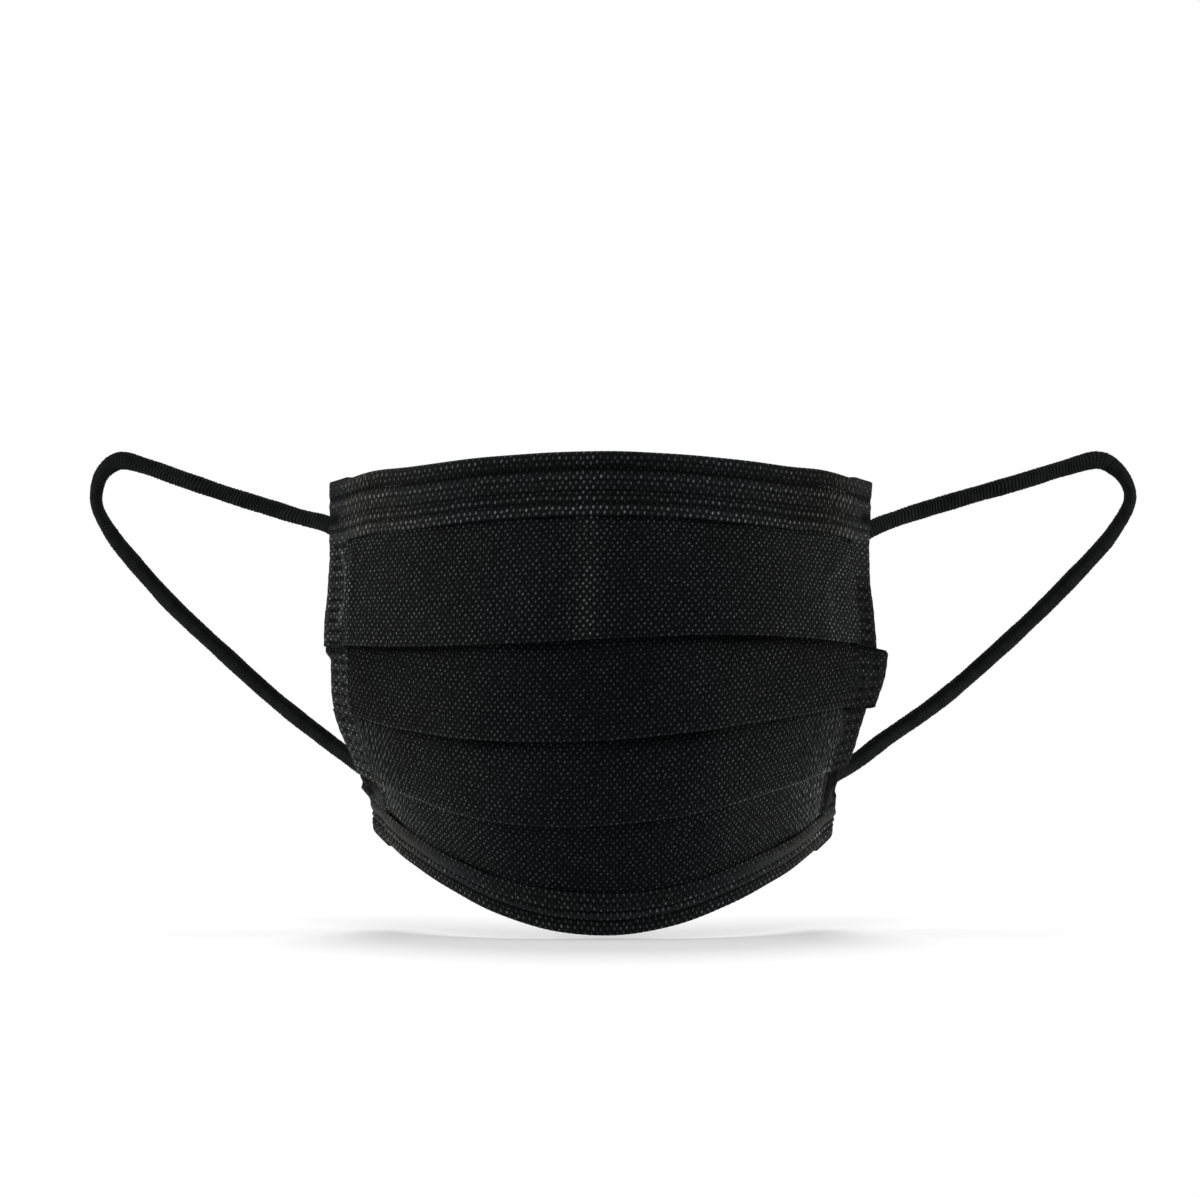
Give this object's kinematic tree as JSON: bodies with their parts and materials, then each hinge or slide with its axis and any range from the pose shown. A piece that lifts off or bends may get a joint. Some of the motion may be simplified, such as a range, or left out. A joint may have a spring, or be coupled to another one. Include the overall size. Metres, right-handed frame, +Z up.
{
  "type": "surgical mask",
  "caption": "Pleated black surgical mask in its worn shape, with doubled top and bottom hems, welded side seams and elastic ear loops.",
  "frame": {"origin": "nose rest: the middle of the top hem's inner face, at the bridge of the wearer's nose", "axes": "+X to the right in the front view, +Y towards the wearer, +Z up; the outer face looks along -Y"},
  "size_m": [0.2855, 0.076, 0.1266],
  "materials": {
    "nonwoven": "matte spunbond non-woven with raised bond points",
    "hem_nonwoven": "matte doubled non-woven with weld lines",
    "welded_nonwoven": "satin, pressed and welded layers",
    "elastic": "matte knitted elastic"
  },
  "bodies": {
    "root": {"pleated_panel": "nonwoven", "top_hem": "hem_nonwoven", "bottom_hem": "hem_nonwoven", "side_seam_left": "welded_nonwoven", "side_seam_right": "welded_nonwoven", "ear_loop_left": "elastic", "ear_loop_right": "elastic"}
  },
  "joints": []
}
